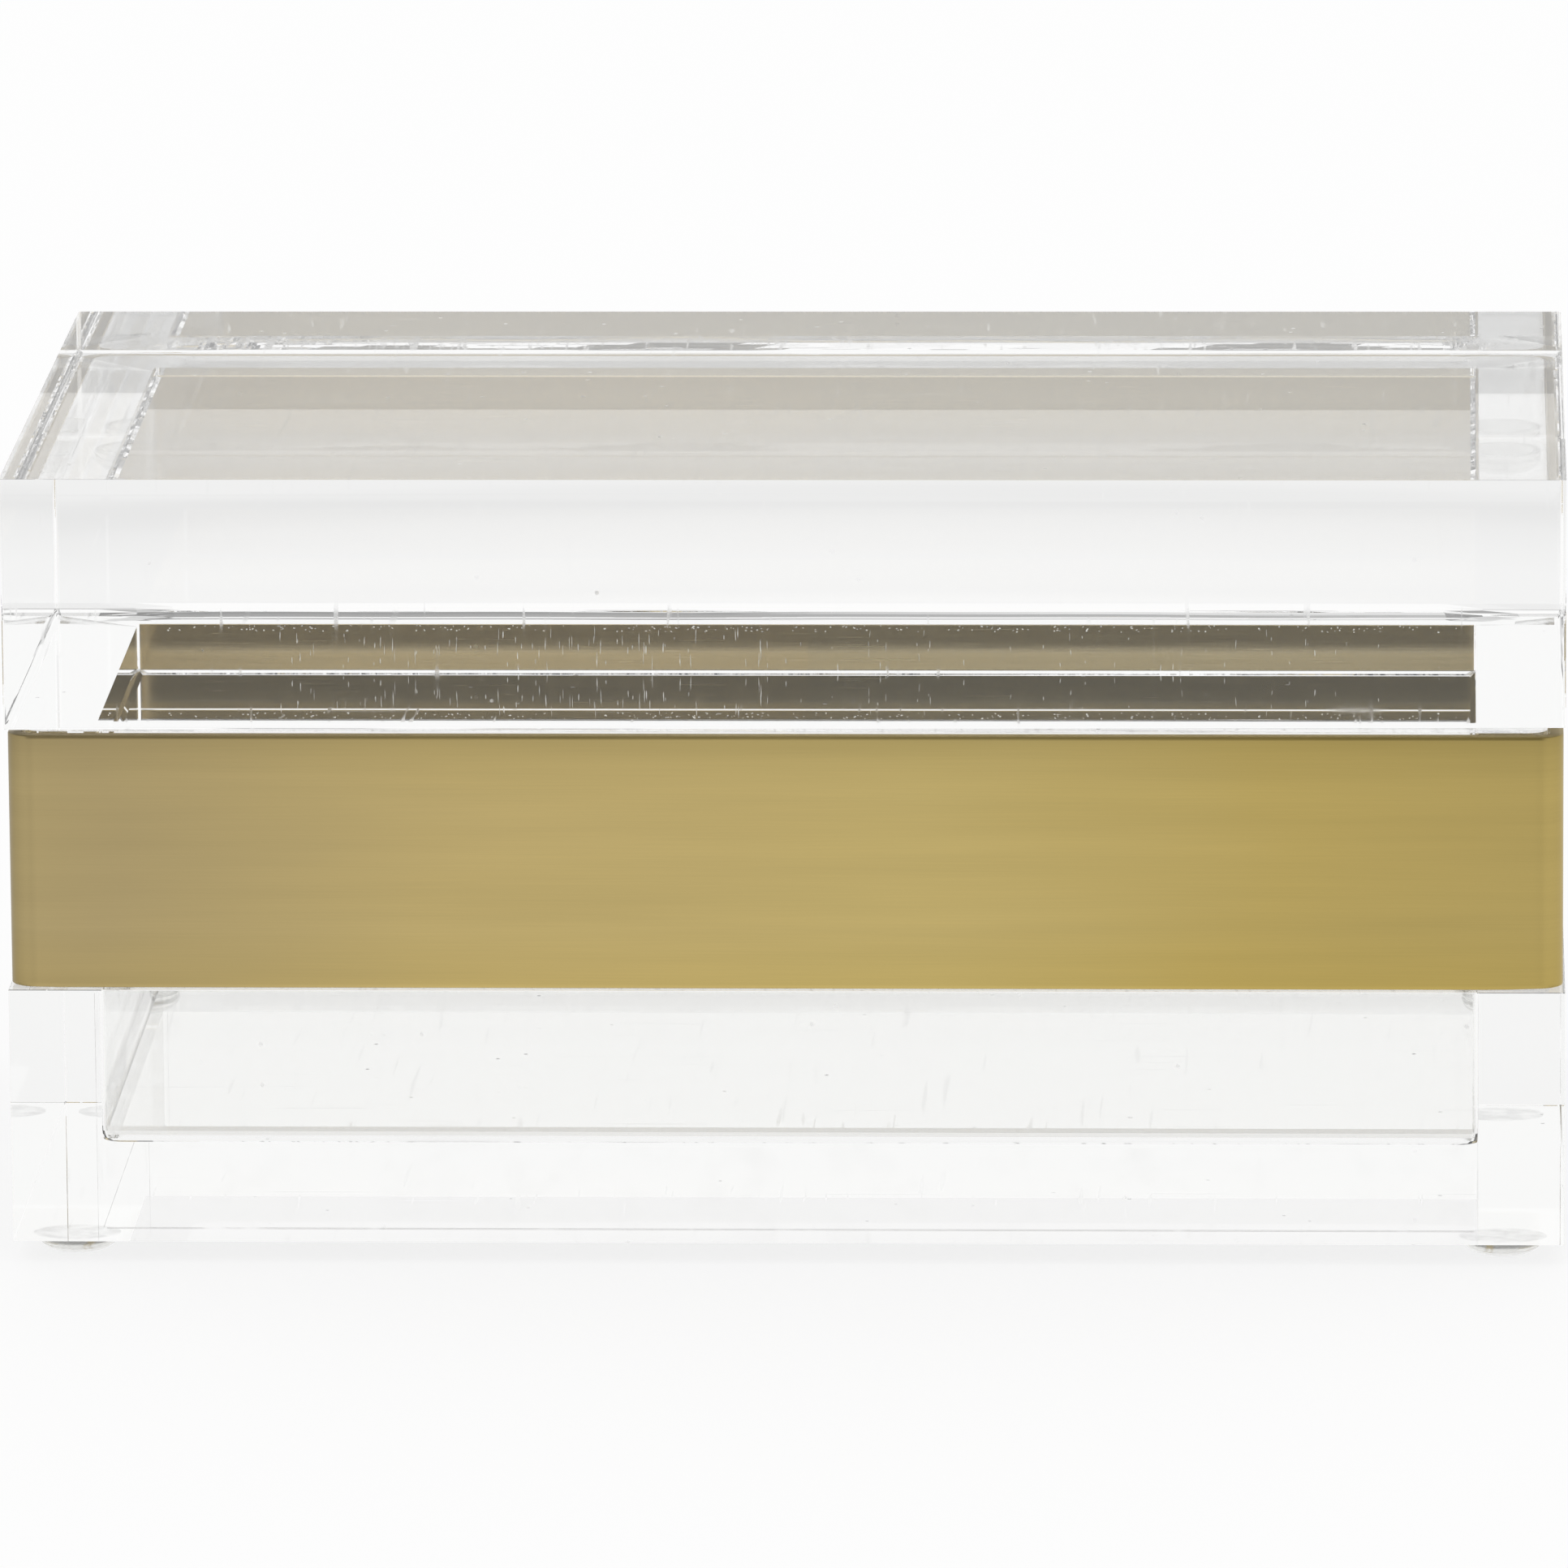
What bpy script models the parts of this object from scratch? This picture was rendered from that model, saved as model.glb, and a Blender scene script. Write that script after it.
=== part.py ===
"""Clear acrylic box: thick cemented walls, a bent brass band and a solid lift-off lid.

Metres, +Z up, front at -Y. The origin is under the middle of the box, level with the tips of its feet.
The box is three equal tiers: the clear base, the brass band let into the walls, and the lid block.
"""

import math

import bmesh
import bpy

# The box, from one face to the other
BOX_WIDTH = 0.2286
BOX_DEPTH = 0.13335
BASE_TIER_HEIGHT = 0.0381
BAND_TIER_HEIGHT = 0.0381

# Cast sheet that the walls and the floor are cut from
WALL_THICKNESS = 0.0127
FLOOR_THICKNESS = 0.0127
EDGE_EASE = 0.0003

# Room for cement between fixed pieces, and for the air under a lid that only rests
CEMENT_GAP = 0.0003
LID_REST_GAP = 0.0003

# Brass strip, bent round the box in a rebate and butted at the back
BAND_THICKNESS = 0.0020
BAND_INNER_RADIUS = 0.0015
BAND_INSET = 0.0003
BAND_EDGE_BREAK = 0.0002
BAND_SEAM_GAP = 0.0003
BEND_STEPS = 8

# Lid block, and the plate cemented under it that drops into the opening
LID_BLOCK_HEIGHT = 0.0381
LID_TOP_CHAMFER = 0.0003
LID_LOWER_CHAMFER = 0.0005
LID_CORNER_RADIUS = 0.0004
PLUG_THICKNESS = 0.0076
PLUG_CLEARANCE = 0.0004
PLUG_CHAMFER = 0.0005
PLUG_CORNER_RADIUS = 0.0005

# Stick-on bumper feet
FOOT_RADIUS = 0.0060
FOOT_HEIGHT = 0.0029
FOOT_RIM_HEIGHT = 0.0006
FOOT_TIP_RADIUS = 0.0022
FOOT_INSET = 0.0090
FOOT_SIDES = 32
DOME_STEPS = 6

CORNER_STEPS = 4

# Levels, counted up from the tips of the feet
BASE_BOTTOM = FOOT_HEIGHT + CEMENT_GAP
BAND_LEDGE = BASE_BOTTOM + BASE_TIER_HEIGHT
WALL_TOP = BAND_LEDGE + BAND_TIER_HEIGHT
LID_UNDERSIDE = WALL_TOP + LID_REST_GAP

# What the walls leave between them, and how deep the band is let into them
OPENING_WIDTH = BOX_WIDTH - 2 * WALL_THICKNESS
OPENING_DEPTH = BOX_DEPTH - 2 * WALL_THICKNESS
REBATE_DEPTH = BAND_INSET + BAND_THICKNESS + CEMENT_GAP


def clear_scene():
    for thing in list(bpy.data.objects):
        bpy.data.objects.remove(thing)


def make_material(name, colour, roughness, metallic=0.0, transmission=0.0):
    """A Principled material with one colour."""
    material = bpy.data.materials.new(name)
    material.use_nodes = True
    shader = material.node_tree.nodes["Principled BSDF"]
    shader.inputs["Base Color"].default_value = (*colour, 1.0)
    shader.inputs["Roughness"].default_value = roughness
    shader.inputs["Metallic"].default_value = metallic
    shader.inputs["Transmission Weight"].default_value = transmission
    shader.inputs["IOR"].default_value = 1.49
    return material


def clear_acrylic(piece):
    return make_material(piece + "_acrylic", (0.96, 0.97, 0.96), 0.03, transmission=1.0)


def satin_brass(piece):
    return make_material(piece + "_brass", (0.43, 0.34, 0.13), 0.32, metallic=1.0)


def clear_bumper(piece):
    return make_material(piece + "_bumper", (0.90, 0.91, 0.90), 0.18, transmission=0.9)


def loft(name, sections):
    """Mesh of a closed body through sections, each a loop of as many points as the next."""
    bm = bmesh.new()
    loops = [[bm.verts.new(point) for point in section] for section in sections]
    for lower, upper in zip(loops, loops[1:]):
        for i, corner in enumerate(lower):
            bm.faces.new((lower[i - 1], corner, upper[i], upper[i - 1]))
    bm.faces.new(loops[0])
    bm.faces.new(loops[-1])
    bmesh.ops.recalc_face_normals(bm, faces=bm.faces)
    mesh = bpy.data.meshes.new(name)
    bm.to_mesh(mesh)
    bm.free()
    return mesh


def place(name, mesh, material, location=(0, 0, 0), turn=0.0, parent=None):
    """An object for the mesh, turned about Z. The material belongs to the object, so a mesh can be shared."""
    piece = bpy.data.objects.new(name, mesh)
    if not mesh.materials:
        mesh.materials.append(material)
    piece.material_slots[0].link = "OBJECT"
    piece.material_slots[0].material = material
    piece.location = location
    piece.rotation_euler.z = turn
    piece.parent = parent
    bpy.context.scene.collection.objects.link(piece)
    return piece


def place_empty(name, location):
    empty = bpy.data.objects.new(name, None)
    empty.location = location
    bpy.context.scene.collection.objects.link(empty)
    return empty


def arc(centre_x, centre_y, radius, start, end, steps):
    """Points on an arc in plan, both ends included."""
    angles = [start + (end - start) * i / steps for i in range(steps + 1)]
    return [(centre_x + radius * math.cos(a), centre_y + radius * math.sin(a)) for a in angles]


def plan_outline(width, depth, outer, inset, radius):
    """Plan of a plate centred on its origin.

    outer names the sides that are outer faces of the box. They are drawn in by inset, and a corner
    between two of them is rounded.
    """
    left = -width / 2 + (inset if "left" in outer else 0)
    right = width / 2 - (inset if "right" in outer else 0)
    front = -depth / 2 + (inset if "front" in outer else 0)
    back = depth / 2 - (inset if "back" in outer else 0)
    corners = [
        (right, back, -1, -1, 0, ("right", "back")),
        (left, back, 1, -1, math.pi / 2, ("left", "back")),
        (left, front, 1, 1, math.pi, ("left", "front")),
        (right, front, -1, 1, 3 * math.pi / 2, ("right", "front")),
    ]
    points = []
    for x, y, inward_x, inward_y, start, sides in corners:
        if set(sides) <= set(outer):
            centre_x = x + inward_x * radius
            centre_y = y + inward_y * radius
            points += arc(centre_x, centre_y, radius, start, start + math.pi / 2, CORNER_STEPS)
        else:
            points.append((x, y))
    return points


def at_height(points, z):
    return [(x, y, z) for x, y in points]


def wall_mesh(name, width, depth, outer):
    """A wall with eased outer edges, and the band's rebate round its upper part."""

    def level(z, inset, radius):
        return at_height(plan_outline(width, depth, outer, inset, radius), z)

    ledge = BASE_TIER_HEIGHT
    top = BASE_TIER_HEIGHT + BAND_TIER_HEIGHT
    return loft(
        name,
        [
            level(0, EDGE_EASE, EDGE_EASE),
            level(EDGE_EASE, 0, EDGE_EASE),
            level(ledge - EDGE_EASE, 0, EDGE_EASE),
            level(ledge, EDGE_EASE, EDGE_EASE),
            level(ledge, REBATE_DEPTH, BAND_INNER_RADIUS),
            level(top, REBATE_DEPTH, BAND_INNER_RADIUS),
        ],
    )


def block_mesh(name, width, depth, height, lower, upper, radius):
    """A block with rounded upright edges, and a chamfer round its lower and its upper face."""
    sides = ("left", "right", "front", "back")
    levels = [(0, lower), (lower, 0), (height - upper, 0), (height, upper)]
    if not upper:
        levels.pop()
    return loft(
        name,
        [at_height(plan_outline(width, depth, sides, inset, radius), z) for z, inset in levels],
    )


def make_walls(parent):
    """Front and back walls run the full width, and the side walls stand between them."""
    long_wall = wall_mesh("long_wall", BOX_WIDTH, WALL_THICKNESS, ("left", "right", "front"))
    side_length = OPENING_DEPTH - 2 * CEMENT_GAP
    side_wall = wall_mesh("side_wall", WALL_THICKNESS, side_length, ("left",))
    to_front = (BOX_DEPTH - WALL_THICKNESS) / 2
    to_side = (BOX_WIDTH - WALL_THICKNESS) / 2
    walls = [
        ("front_wall", long_wall, (0, -to_front, 0), 0),
        ("back_wall", long_wall, (0, to_front, 0), math.pi),
        ("left_wall", side_wall, (-to_side, 0, 0), 0),
        ("right_wall", side_wall, (to_side, 0, 0), math.pi),
    ]
    for name, mesh, location, turn in walls:
        place(name, mesh, clear_acrylic(name), location, turn, parent)


def make_floor(parent):
    """The floor fills the space between the walls, flush with their lower edges."""
    width = OPENING_WIDTH - 2 * CEMENT_GAP
    depth = OPENING_DEPTH - 2 * CEMENT_GAP
    plan = plan_outline(width, depth, (), 0, 0)
    mesh = loft("floor_plate", [at_height(plan, 0), at_height(plan, FLOOR_THICKNESS)])
    place("floor_plate", mesh, clear_acrylic("floor_plate"), parent=parent)


def band_stations():
    """Places along the band's inner face, clockwise from the seam: x, y and the way out of the box."""
    half_width = BOX_WIDTH / 2 - BAND_INSET - BAND_THICKNESS
    half_depth = BOX_DEPTH / 2 - BAND_INSET - BAND_THICKNESS
    bends = [(1, 1, math.pi / 2), (1, -1, 0), (-1, -1, -math.pi / 2), (-1, 1, -math.pi)]
    stations = [(BAND_SEAM_GAP / 2, half_depth, 0, 1)]
    for side_x, side_y, start in bends:
        centre_x = side_x * (half_width - BAND_INNER_RADIUS)
        centre_y = side_y * (half_depth - BAND_INNER_RADIUS)
        for i in range(BEND_STEPS + 1):
            angle = start - math.pi / 2 * i / BEND_STEPS
            out_x = math.cos(angle)
            out_y = math.sin(angle)
            x = centre_x + BAND_INNER_RADIUS * out_x
            y = centre_y + BAND_INNER_RADIUS * out_y
            stations.append((x, y, out_x, out_y))
    stations.append((-BAND_SEAM_GAP / 2, half_depth, 0, 1))
    return stations


def make_band(parent):
    """The strip's section, carried round the box from one side of the seam to the other."""
    height = BAND_TIER_HEIGHT - CEMENT_GAP
    section = [
        (0, 0),
        (BAND_THICKNESS - BAND_EDGE_BREAK, 0),
        (BAND_THICKNESS, BAND_EDGE_BREAK),
        (BAND_THICKNESS, height - BAND_EDGE_BREAK),
        (BAND_THICKNESS - BAND_EDGE_BREAK, height),
        (0, height),
    ]
    loops = []
    for x, y, out_x, out_y in band_stations():
        loops.append([(x + out * out_x, y + out * out_y, up) for out, up in section])
    mesh = loft("brass_band", loops)
    mesh.shade_smooth()
    mesh.set_sharp_from_angle(angle=math.radians(30))
    location = (0, 0, BASE_TIER_HEIGHT + CEMENT_GAP)
    place("brass_band", mesh, satin_brass("brass_band"), location, parent=parent)


def make_feet(parent):
    """Four domed bumpers with a flat tip, under the corners where the walls meet."""
    dome_height = FOOT_HEIGHT - FOOT_RIM_HEIGHT
    tip_angle = math.asin(FOOT_TIP_RADIUS / FOOT_RADIUS)
    rings = []
    for i in range(DOME_STEPS + 1):
        angle = tip_angle + (math.pi / 2 - tip_angle) * i / DOME_STEPS
        rise = dome_height * (1 - math.cos(angle) / math.cos(tip_angle))
        rings.append((FOOT_RADIUS * math.sin(angle), rise))
    rings.append((FOOT_RADIUS, FOOT_HEIGHT))
    full_turn = 2 * math.pi * (1 - 1 / FOOT_SIDES)
    loops = [at_height(arc(0, 0, r, 0, full_turn, FOOT_SIDES - 1), z) for r, z in rings]
    mesh = loft("bumper_foot", loops)
    mesh.shade_smooth()
    mesh.set_sharp_from_angle(angle=math.radians(40))
    for end, side_y in (("front", -1), ("back", 1)):
        for side, side_x in (("left", -1), ("right", 1)):
            name = f"{end}_{side}_foot"
            x = side_x * (BOX_WIDTH / 2 - FOOT_INSET)
            y = side_y * (BOX_DEPTH / 2 - FOOT_INSET)
            location = (x, y, -CEMENT_GAP - FOOT_HEIGHT)
            place(name, mesh, clear_bumper(name), location, parent=parent)


def make_lid(parent):
    """The block covers the whole top. The plate under it fits inside the walls with a little play."""
    block = block_mesh(
        "lid_block",
        BOX_WIDTH,
        BOX_DEPTH,
        LID_BLOCK_HEIGHT,
        LID_LOWER_CHAMFER,
        LID_TOP_CHAMFER,
        LID_CORNER_RADIUS,
    )
    place("lid_block", block, clear_acrylic("lid_block"), parent=parent)
    plug = block_mesh(
        "lid_plug",
        OPENING_WIDTH - 2 * PLUG_CLEARANCE,
        OPENING_DEPTH - 2 * PLUG_CLEARANCE,
        PLUG_THICKNESS,
        PLUG_CHAMFER,
        0,
        PLUG_CORNER_RADIUS,
    )
    location = (0, 0, -CEMENT_GAP - PLUG_THICKNESS)
    place("lid_plug", plug, clear_acrylic("lid_plug"), location, parent=parent)


def main():
    clear_scene()
    base = place_empty("base", (0, 0, BASE_BOTTOM))
    lid = place_empty("lid_lift", (0, 0, LID_UNDERSIDE))
    make_walls(base)
    make_floor(base)
    make_band(base)
    make_feet(base)
    make_lid(lid)


main()
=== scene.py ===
# %% [markdown]
# # A clear acrylic keepsake box with a brass band
# The box is thick clear acrylic, cemented from sheet. A strip of satin brass is let into its walls, and a
# solid acrylic lid lifts off. Clear material is all edges: what is seen is how the faces bend and mirror
# the light. So the shapes here are exact, and the finish is mostly glass settings with a little wear.
# First the imported model is loaded and its sizes are read. Only wear, fillets and finish are given.

# %% Load the frame
import math

import bmesh
import bpy
from mathutils import Matrix, Vector


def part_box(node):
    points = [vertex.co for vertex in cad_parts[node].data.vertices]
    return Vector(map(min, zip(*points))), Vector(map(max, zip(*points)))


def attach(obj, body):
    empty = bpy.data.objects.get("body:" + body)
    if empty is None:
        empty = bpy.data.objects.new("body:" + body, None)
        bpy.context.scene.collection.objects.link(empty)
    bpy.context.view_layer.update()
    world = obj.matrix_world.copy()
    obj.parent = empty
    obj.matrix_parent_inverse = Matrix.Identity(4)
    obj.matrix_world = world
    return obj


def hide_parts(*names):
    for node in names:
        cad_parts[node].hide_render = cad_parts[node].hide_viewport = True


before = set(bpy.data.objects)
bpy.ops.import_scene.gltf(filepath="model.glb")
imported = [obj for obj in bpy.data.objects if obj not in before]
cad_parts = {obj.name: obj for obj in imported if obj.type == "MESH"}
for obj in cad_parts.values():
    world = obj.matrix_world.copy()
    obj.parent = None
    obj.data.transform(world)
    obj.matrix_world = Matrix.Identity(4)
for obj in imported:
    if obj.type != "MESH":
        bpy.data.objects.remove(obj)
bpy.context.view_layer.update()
MM = 0.001

# %% Sizes that the pieces share
lid_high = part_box("lid_block")[1]
plug_low, plug_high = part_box("lid_plug")
floor_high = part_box("floor_plate")[1]
band_low, band_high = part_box("brass_band")
left_wall_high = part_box("left_wall")[1]
front_wall_low, front_wall_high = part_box("front_wall")

HALF_WIDTH = lid_high.x
HALF_DEPTH = lid_high.y
LID_TOP = lid_high.z
BOTTOM = front_wall_low.z
WALL_TOP = front_wall_high.z
OPENING_X = -left_wall_high.x
OPENING_Y = -front_wall_high.y
FLOOR_TOP = floor_high.z
CEMENT = 0.3 * MM
LEDGE = band_low.z - CEMENT
# The brass strip's thickness and its height.
STRIP = 2.0 * MM
STRIP_HEIGHT = band_high.z - band_low.z
print("half width and depth", round(HALF_WIDTH / MM, 2), round(HALF_DEPTH / MM, 2))
print("opening", round(OPENING_X / MM, 2), round(OPENING_Y / MM, 2), "ledge", round(LEDGE / MM, 2))

# %% [markdown]
# ## Helpers for lofted bodies
# Nearly everything here is a plan outline carried through a few levels: a block, a box with a cavity, a
# disc. It could be made from cubes with bevels, but a loft gives each edge its own width, and the result
# is one closed skin, which glass needs.

# %% Outlines
CORNER_STEPS = 5


def blend(start, end, share):
    """The value part of the way from start to end."""
    return start + (end - start) * share


def near(distance, reach):
    """1 at no distance, falling evenly to 0 at reach."""
    return max(0.0, 1 - distance / reach)


def spread(start, end, shares):
    """Points part of the way from start to end."""
    return [(blend(start[0], end[0], t), blend(start[1], end[1], t)) for t in shares]


def plan(left, right, front, back, radius, shares=(), front_radius=None):
    """A rectangle with rounded corners, anticlockwise from above. shares adds points along each side."""
    front_radius = radius if front_radius is None else front_radius
    corners = [
        (right, front, -1, 1, 270, front_radius),
        (right, back, -1, -1, 0, radius),
        (left, back, 1, -1, 90, radius),
        (left, front, 1, 1, 180, front_radius),
    ]
    arcs = []
    for x, y, in_x, in_y, start, r in corners:
        angles = [math.radians(start + 90 * i / CORNER_STEPS) for i in range(CORNER_STEPS + 1)]
        arcs.append([(x + r * (in_x + math.cos(a)), y + r * (in_y + math.sin(a))) for a in angles])
    points = []
    for i, arc in enumerate(arcs):
        points += arc + spread(arc[-1], arcs[(i + 1) % len(arcs)][0], shares)
    return points


print("points in a plain outline:", len(plan(-1, 1, -1, 1, 0.1)))


# %% From loops to a piece
def loft(bm, loops):
    """Faces between loops of equally many points, with a cap at each end."""
    rings = [[bm.verts.new(p) for p in loop] for loop in loops]
    for lower, upper in zip(rings, rings[1:]):
        for i, corner in enumerate(lower):
            bm.faces.new((lower[i - 1], corner, upper[i], upper[i - 1]))
    bm.faces.new(rings[0])
    bm.faces.new(rings[-1])


def show(name, mesh):
    """An object for the mesh, at the origin."""
    piece = bpy.data.objects.new(name, mesh)
    bpy.context.scene.collection.objects.link(piece)
    return piece


def finish_mesh(name, bm, *materials, smooth_below=0.0):
    """A piece with its normals out. Edges flatter than smooth_below degrees are smoothed."""
    bmesh.ops.recalc_face_normals(bm, faces=bm.faces)
    bmesh.ops.triangulate(bm, faces=[f for f in bm.faces if len(f.verts) > 4])
    mesh = bpy.data.meshes.new(name)
    bm.to_mesh(mesh)
    open_edges = sum(1 for e in bm.edges if not e.is_manifold)
    bm.free()
    for material in materials:
        mesh.materials.append(material)
    if smooth_below:
        mesh.shade_smooth()
        mesh.set_sharp_from_angle(angle=math.radians(smooth_below))
    print(name, "faces", len(mesh.polygons), "open edges", open_edges)
    return show(name, mesh)


# %% [markdown]
# ## Marks that handling leaves on acrylic
# Polished acrylic is soft. It picks up hairline scratches, dust and a faint unevenness from polishing that
# makes straight lines behind it waver. Both the lid and the box have them, so they are one node group with
# its own sockets. Drawing them as an image would be another way, but noise costs nothing and never repeats.

# %% Node helpers
def set_inputs(tree, node, inputs):
    """Sets each input. A socket is linked to it, and anything else is its value."""
    for key, value in inputs.items():
        if isinstance(value, bpy.types.NodeSocket):
            tree.links.new(value, node.inputs[key])
        else:
            node.inputs[key].default_value = value


def add_node(tree, kind, inputs=None, **settings):
    made = tree.nodes.new(kind)
    for key, value in settings.items():
        setattr(made, key, value)
    set_inputs(tree, made, inputs or {})
    return made


def math_node(tree, operation, first, second=0.0, clamp=False):
    made = add_node(tree, "ShaderNodeMath", {0: first, 1: second}, operation=operation, use_clamp=clamp)
    return made.outputs[0]


def rescale(tree, value, low, high, from_low=0.0, from_high=1.0):
    """low at from_low, high at from_high, straight between and level beyond."""
    ends = {"From Min": from_low, "From Max": from_high, "To Min": low, "To Max": high}
    return add_node(tree, "ShaderNodeMapRange", {"Value": value, **ends}, clamp=True).outputs["Result"]


def ramp(tree, value, low, high):
    """0 at low, 1 at high, and a straight ramp between."""
    return rescale(tree, value, 0.0, 1.0, low, high)


def object_place(tree):
    return add_node(tree, "ShaderNodeTexCoord").outputs["Object"]


def noise(tree, place, detail, scale=1.0, stretch=None, turn=(0.0, 0.0, 0.0)):
    """Soft noise from 0 to 1. stretch packs it closer along each axis, and turn picks another part of it."""
    if stretch:
        moved = add_node(tree, "ShaderNodeMapping", {"Vector": place, "Rotation": turn, "Scale": stretch})
        place = moved.outputs[0]
    return add_node(tree, "ShaderNodeTexNoise", {"Vector": place, "Scale": scale, "Detail": detail}).outputs["Fac"]


def new_group(name, inputs, outputs):
    """A shader node group with float inputs and outputs."""
    tree = bpy.data.node_groups.new(name, "ShaderNodeTree")
    for label, value in inputs.items():
        socket = tree.interface.new_socket(label, in_out="INPUT", socket_type="NodeSocketFloat")
        socket.default_value = value
    for label in outputs:
        tree.interface.new_socket(label, in_out="OUTPUT", socket_type="NodeSocketFloat")
    return tree, tree.nodes.new("NodeGroupInput"), tree.nodes.new("NodeGroupOutput")


# %% The handling marks group
# Hairlines lie in three layers. Each row is a turn in radians, which picks another part of the noise, and how
# closely the noise is packed along the axes.
HAIRLINES = [(0.35, (900, 26, 60)), (1.9, (26, 900, 60)), (2.7, (700, 30, 90))]
HAIR_TILT = (0.2, 0.1)
SPECKS_PER_METRE = 260.0

marks, marks_in, marks_out = new_group(
    "handling_marks",
    {"Hairline amount": 0.5, "Dust amount": 0.5, "Wave size": 30.0},
    ("Hairlines", "Dust", "Wave"),
)
place = object_place(marks)
hair = 0.0
for turn, stretch in HAIRLINES:
    lines = noise(marks, place, 1.0, stretch=stretch, turn=(*HAIR_TILT, turn))
    hair = math_node(marks, "MAXIMUM", hair, ramp(marks, lines, 0.70, 0.76))
# A speck is the middle of a cell, and only one cell in ten or so has one.
cells = add_node(marks, "ShaderNodeTexVoronoi", {"Vector": place, "Scale": SPECKS_PER_METRE})
lot = add_node(marks, "ShaderNodeSeparateColor", {0: cells.outputs["Color"]}).outputs[0]
middle = ramp(marks, cells.outputs["Distance"], 0.12, 0.06)
speck = math_node(marks, "MULTIPLY", middle, ramp(marks, lot, 0.90, 0.92))
set_inputs(marks, marks_out, {
    "Hairlines": math_node(marks, "MULTIPLY", hair, marks_in.outputs["Hairline amount"]),
    "Dust": math_node(marks, "MULTIPLY", speck, marks_in.outputs["Dust amount"]),
    "Wave": noise(marks, place, 1.5, marks_in.outputs["Wave size"]),
})
print("handling marks group:", [s.name for s in marks.interface.items_tree])

# %% [markdown]
# ## Clear acrylic
# Cast acrylic bends light with an index of 1.49 and is very nearly colourless. The Principled shader with
# its transmission at 1 gives the bending, the mirror-like grazing reflections and the total reflection
# inside. The marks only touch the roughness and the bump.

# %% Acrylic materials
ACRYLIC_INDEX = 1.49
HAIRLINE_ROUGHNESS = 0.16
SPECK_ROUGHNESS = 0.5


def new_material(name):
    material = bpy.data.materials.new(name)
    material.use_nodes = True
    tree = material.node_tree
    return material, tree, tree.nodes["Principled BSDF"]


def clear_acrylic(name, tint, hairlines, dust, wave_height):
    material, tree, shader = new_material(name)
    amounts = {"Hairline amount": hairlines, "Dust amount": dust}
    worn = add_node(tree, "ShaderNodeGroup", amounts, node_tree=marks)
    soft = math_node(tree, "MULTIPLY", worn.outputs["Hairlines"], HAIRLINE_ROUGHNESS)
    specks = math_node(tree, "MULTIPLY", worn.outputs["Dust"], SPECK_ROUGHNESS)
    waves = {"Height": worn.outputs["Wave"], "Distance": wave_height, "Strength": 1.0}
    set_inputs(tree, shader, {
        "Base Color": (*tint, 1.0),
        "IOR": ACRYLIC_INDEX,
        "Transmission Weight": 1.0,
        "Roughness": math_node(tree, "MAXIMUM", soft, specks),
        "Normal": add_node(tree, "ShaderNodeBump", waves).outputs["Normal"],
    })
    return material


lid_acrylic = clear_acrylic("lid_acrylic", (0.985, 0.986, 0.982), 0.7, 0.9, 0.003 * MM)
wall_acrylic = clear_acrylic("wall_acrylic", (0.978, 0.979, 0.973), 0.7, 0.8, 0.004 * MM)
print("acrylic:", lid_acrylic.name, wall_acrylic.name)

# %% [markdown]
# ## The lid
# The real lid is a solid block with a plate cemented under it. Cement joins the two so well that light goes
# straight through, so here they are one closed body. Two bodies a hair apart would mirror light at the joint.
# The lid is polished by hand: its lower front edge is rolled off, more so to the right, and the other lower
# edges are worn. A bevel would give them one even width, so each is a few facets with a rule of its own.

# %% How the lid's lower edges are worn
LID_GAP_BACK = 0.33 * MM
LID_GAP_FRONT = 0.42 * MM
ROLL_DEPTH = 6.0 * MM
ROLL_LEFT = 0.55 * MM
ROLL_RIGHT = 1.15 * MM
ROLL_REACH = 14 * MM

# Each row is one facet's start, in mm: how far in from the face, and how far up from the underside. Over the
# side walls the wear on the back edge has another shape.
BACK_WEAR = [(13.0, 0.0), (7.4, 0.07), (1.4, 0.30), (0.8, 0.46), (0.4, 0.92), (0.0, 1.42)]
BACK_ENDS = [(13.0, 0.0), (7.4, 0.0), (0.62, 0.0), (0.30, 0.47), (0.16, 0.60), (0.0, 1.42)]
SIDE_WEAR = [(1.2, 0.0), (0.9, 0.04), (0.6, 0.12), (0.35, 0.27), (0.15, 0.50), (0.0, 0.80)]

# The back edge's inner facets waver along the lid, and are lower at its left end. Each row of WAVER is how
# much, over what length, and where in its swing it starts.
UNEVEN_FACETS = (1, 2)
WAVER = [(0.10, 17 * MM, 0.0), (0.07, 7.1 * MM, 1.3)]
LEFT_END = 0.75
LEFT_REACH = 60 * MM
ENDS_REACH = 6 * MM


def underside(y):
    """The level of the lid's underside, which lies a little lower at the back."""
    return WALL_TOP + blend(LID_GAP_BACK, LID_GAP_FRONT, (HALF_DEPTH - y) / (2 * HALF_DEPTH))


def back_wear(step, x):
    """One facet's start on the back edge, blended from its two shapes, and a little uneven."""
    middle = min(1.0, max(0.0, 0.4 + (OPENING_X - abs(x)) / ENDS_REACH))
    deep = blend(BACK_ENDS[step][0], BACK_WEAR[step][0], middle)
    rise = blend(BACK_ENDS[step][1], BACK_WEAR[step][1], middle)
    if step in UNEVEN_FACETS:
        rise *= 1 + sum(much * math.sin(x / length + start) for much, length, start in WAVER)
        rise *= blend(LEFT_END, 1.0, min(1.0, (x + HALF_WIDTH) / LEFT_REACH))
    return deep * MM, rise * MM


def side_rise(step, t, x, y):
    """The rise of the side edges, which turns into the roll of the front edge near the front."""
    roll = blend(ROLL_LEFT, ROLL_RIGHT, (x + HALF_WIDTH) / (2 * HALF_WIDTH)) * t
    return blend(SIDE_WEAR[step][1] * MM, roll, near(y + HALF_DEPTH, ROLL_REACH) ** 2)


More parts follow.
